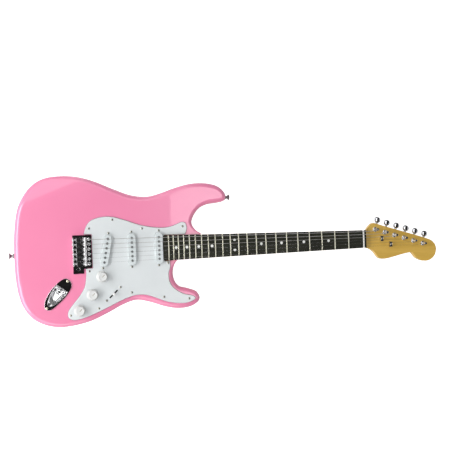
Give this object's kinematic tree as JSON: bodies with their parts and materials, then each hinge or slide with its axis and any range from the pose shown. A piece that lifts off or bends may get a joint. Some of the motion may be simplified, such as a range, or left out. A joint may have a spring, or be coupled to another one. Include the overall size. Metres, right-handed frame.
{
  "type": "electric guitar",
  "caption": "Solid-body electric guitar with bolt-on neck, single-coil pickups, tilting vibrato bridge, geared tuners, knobs and a selector, lying on its back.",
  "frame": {"origin": "centre of the bounding box's underside, on the surface that the guitar lies on", "axes": "+X from the body towards the head, +Y towards the bass side, +Z out of the playing face"},
  "size_m": [1.0076, 0.3298, 0.0651],
  "materials": {
    "pink_lacquer": "solid pink gloss lacquer over wood",
    "maple": "amber satin lacquer over straight-grained maple",
    "dark_fingerboard": "dark, open-grained hardwood with nickel-silver frets",
    "bone": "off-white, lightly polished",
    "white_plastic": "cool white, gloss",
    "black_plastic": "black, matte",
    "chrome_plate": "polished plating",
    "plain_steel": "zinc-plated steel",
    "string_steel": "nickel-plated steel"
  },
  "bodies": {
    "guitar_body": {"body": "pink_lacquer", "fingerboard": "dark_fingerboard", "jack_plate": "chrome_plate", "jack_socket": "plain_steel", "middle_tone_pot": "plain_steel", "neck": "maple", "neck_plate": "chrome_plate", "neck_tone_pot": "plain_steel", "nut": "bone", "pickguard": "white_plastic", "pickup_coil_bridge": "black_plastic", "pickup_coil_middle": "black_plastic", "pickup_coil_neck": "black_plastic", "pickup_cover_bridge": "white_plastic", "pickup_cover_middle": "white_plastic", "pickup_cover_neck": "white_plastic", "spring_claw": "plain_steel", "strap_button_end": "chrome_plate", "strap_button_horn": "chrome_plate", "string_1": "string_steel", "string_2": "string_steel", "string_3": "string_steel", "string_4": "string_steel", "string_5": "string_steel", "string_6": "string_steel", "string_tree_1": "chrome_plate", "string_tree_2": "chrome_plate", "switch_frame": "plain_steel", "trem_cover": "white_plastic", "trem_spring_1": "plain_steel", "trem_spring_2": "plain_steel", "trem_spring_3": "plain_steel", "truss_rod": "plain_steel", "tuner_plate": "chrome_plate", "volume_pot": "plain_steel"},
    "bridge": {"bridge_plate": "chrome_plate", "trem_block": "plain_steel", "saddle_1": "chrome_plate", "saddle_2": "chrome_plate", "saddle_3": "chrome_plate", "saddle_4": "chrome_plate", "saddle_5": "chrome_plate", "saddle_6": "chrome_plate"},
    "tuner_1_button": {"tuner_button_1": "chrome_plate"},
    "tuner_1_post": {"tuner_post_1": "chrome_plate"},
    "tuner_2_button": {"tuner_button_2": "chrome_plate"},
    "tuner_2_post": {"tuner_post_2": "chrome_plate"},
    "tuner_3_button": {"tuner_button_3": "chrome_plate"},
    "tuner_3_post": {"tuner_post_3": "chrome_plate"},
    "tuner_4_button": {"tuner_button_4": "chrome_plate"},
    "tuner_4_post": {"tuner_post_4": "chrome_plate"},
    "tuner_5_button": {"tuner_button_5": "chrome_plate"},
    "tuner_5_post": {"tuner_post_5": "chrome_plate"},
    "tuner_6_button": {"tuner_button_6": "chrome_plate"},
    "tuner_6_post": {"tuner_post_6": "chrome_plate"},
    "volume_control": {"volume_knob": "white_plastic"},
    "neck_tone_control": {"neck_tone_knob": "white_plastic"},
    "middle_tone_control": {"middle_tone_knob": "white_plastic"},
    "selector": {"switch_lever": "plain_steel", "switch_tip": "white_plastic"}
  },
  "joints": [
    {"name": "bridge_tilt", "type": "hinge", "parent": "guitar_body", "child": "bridge", "pos_m": [-0.3338, -0.00239, 0.0476], "axis": [0, 1, 0], "range_deg": [0, 12], "stiffness_Nm_per_rad": 10, "deforming": ["string_1", "string_2", "string_3", "string_4", "string_5", "string_6", "trem_spring_1", "trem_spring_2", "trem_spring_3"]},
    {"name": "tuner_1_turn", "type": "hinge", "parent": "guitar_body", "child": "tuner_1_button", "pos_m": [0.35322, 0.01659, 0.0257], "axis": [0.2957, 0.9553, 0], "continuous": true},
    {"name": "post_1_turn", "type": "hinge", "parent": "guitar_body", "child": "tuner_1_post", "pos_m": [0.3451, 0.01911, 0.0473], "axis": [0, 0, 1], "continuous": true},
    {"name": "tuner_2_turn", "type": "hinge", "parent": "guitar_body", "child": "tuner_2_button", "pos_m": [0.37787, 0.00896, 0.0257], "axis": [0.2957, 0.9553, 0], "continuous": true},
    {"name": "post_2_turn", "type": "hinge", "parent": "guitar_body", "child": "tuner_2_post", "pos_m": [0.36975, 0.01148, 0.0473], "axis": [0, 0, 1], "continuous": true},
    {"name": "tuner_3_turn", "type": "hinge", "parent": "guitar_body", "child": "tuner_3_button", "pos_m": [0.40251, 0.00133, 0.0257], "axis": [0.2957, 0.9553, 0], "continuous": true},
    {"name": "post_3_turn", "type": "hinge", "parent": "guitar_body", "child": "tuner_3_post", "pos_m": [0.39439, 0.00385, 0.0473], "axis": [0, 0, 1], "continuous": true},
    {"name": "tuner_4_turn", "type": "hinge", "parent": "guitar_body", "child": "tuner_4_button", "pos_m": [0.42716, -0.0063, 0.0257], "axis": [0.2957, 0.9553, 0], "continuous": true},
    {"name": "post_4_turn", "type": "hinge", "parent": "guitar_body", "child": "tuner_4_post", "pos_m": [0.41904, -0.00378, 0.0473], "axis": [0, 0, 1], "continuous": true},
    {"name": "tuner_5_turn", "type": "hinge", "parent": "guitar_body", "child": "tuner_5_button", "pos_m": [0.45181, -0.01393, 0.0257], "axis": [0.2957, 0.9553, 0], "continuous": true},
    {"name": "post_5_turn", "type": "hinge", "parent": "guitar_body", "child": "tuner_5_post", "pos_m": [0.44368, -0.01141, 0.0473], "axis": [0, 0, 1], "continuous": true},
    {"name": "tuner_6_turn", "type": "hinge", "parent": "guitar_body", "child": "tuner_6_button", "pos_m": [0.47645, -0.02156, 0.0257], "axis": [0.2957, 0.9553, 0], "continuous": true},
    {"name": "post_6_turn", "type": "hinge", "parent": "guitar_body", "child": "tuner_6_post", "pos_m": [0.46833, -0.01904, 0.0473], "axis": [0, 0, 1], "continuous": true},
    {"name": "volume_turn", "type": "hinge", "parent": "guitar_body", "child": "volume_control", "pos_m": [-0.3076, -0.0588, 0.0473], "axis": [0, 0, 1], "range_deg": [-150, 150]},
    {"name": "neck_tone_turn", "type": "hinge", "parent": "guitar_body", "child": "neck_tone_control", "pos_m": [-0.3298, -0.09749, 0.0473], "axis": [0, 0, 1], "range_deg": [-150, 150]},
    {"name": "middle_tone_turn", "type": "hinge", "parent": "guitar_body", "child": "middle_tone_control", "pos_m": [-0.3587, -0.13009, 0.0473], "axis": [0, 0, 1], "range_deg": [-150, 150]},
    {"name": "selector_tilt", "type": "hinge", "parent": "guitar_body", "child": "selector", "pos_m": [-0.2836, -0.09839, 0.0338], "axis": [-0.6756, 0.7373, 0], "range_deg": [-18, 18]}
  ],
  "couplings": [
    {"joint": "post_1_turn", "follows": "tuner_1_turn", "ratio": 0.071429},
    {"joint": "post_2_turn", "follows": "tuner_2_turn", "ratio": 0.071429},
    {"joint": "post_3_turn", "follows": "tuner_3_turn", "ratio": 0.071429},
    {"joint": "post_4_turn", "follows": "tuner_4_turn", "ratio": 0.071429},
    {"joint": "post_5_turn", "follows": "tuner_5_turn", "ratio": 0.071429},
    {"joint": "post_6_turn", "follows": "tuner_6_turn", "ratio": 0.071429}
  ]
}
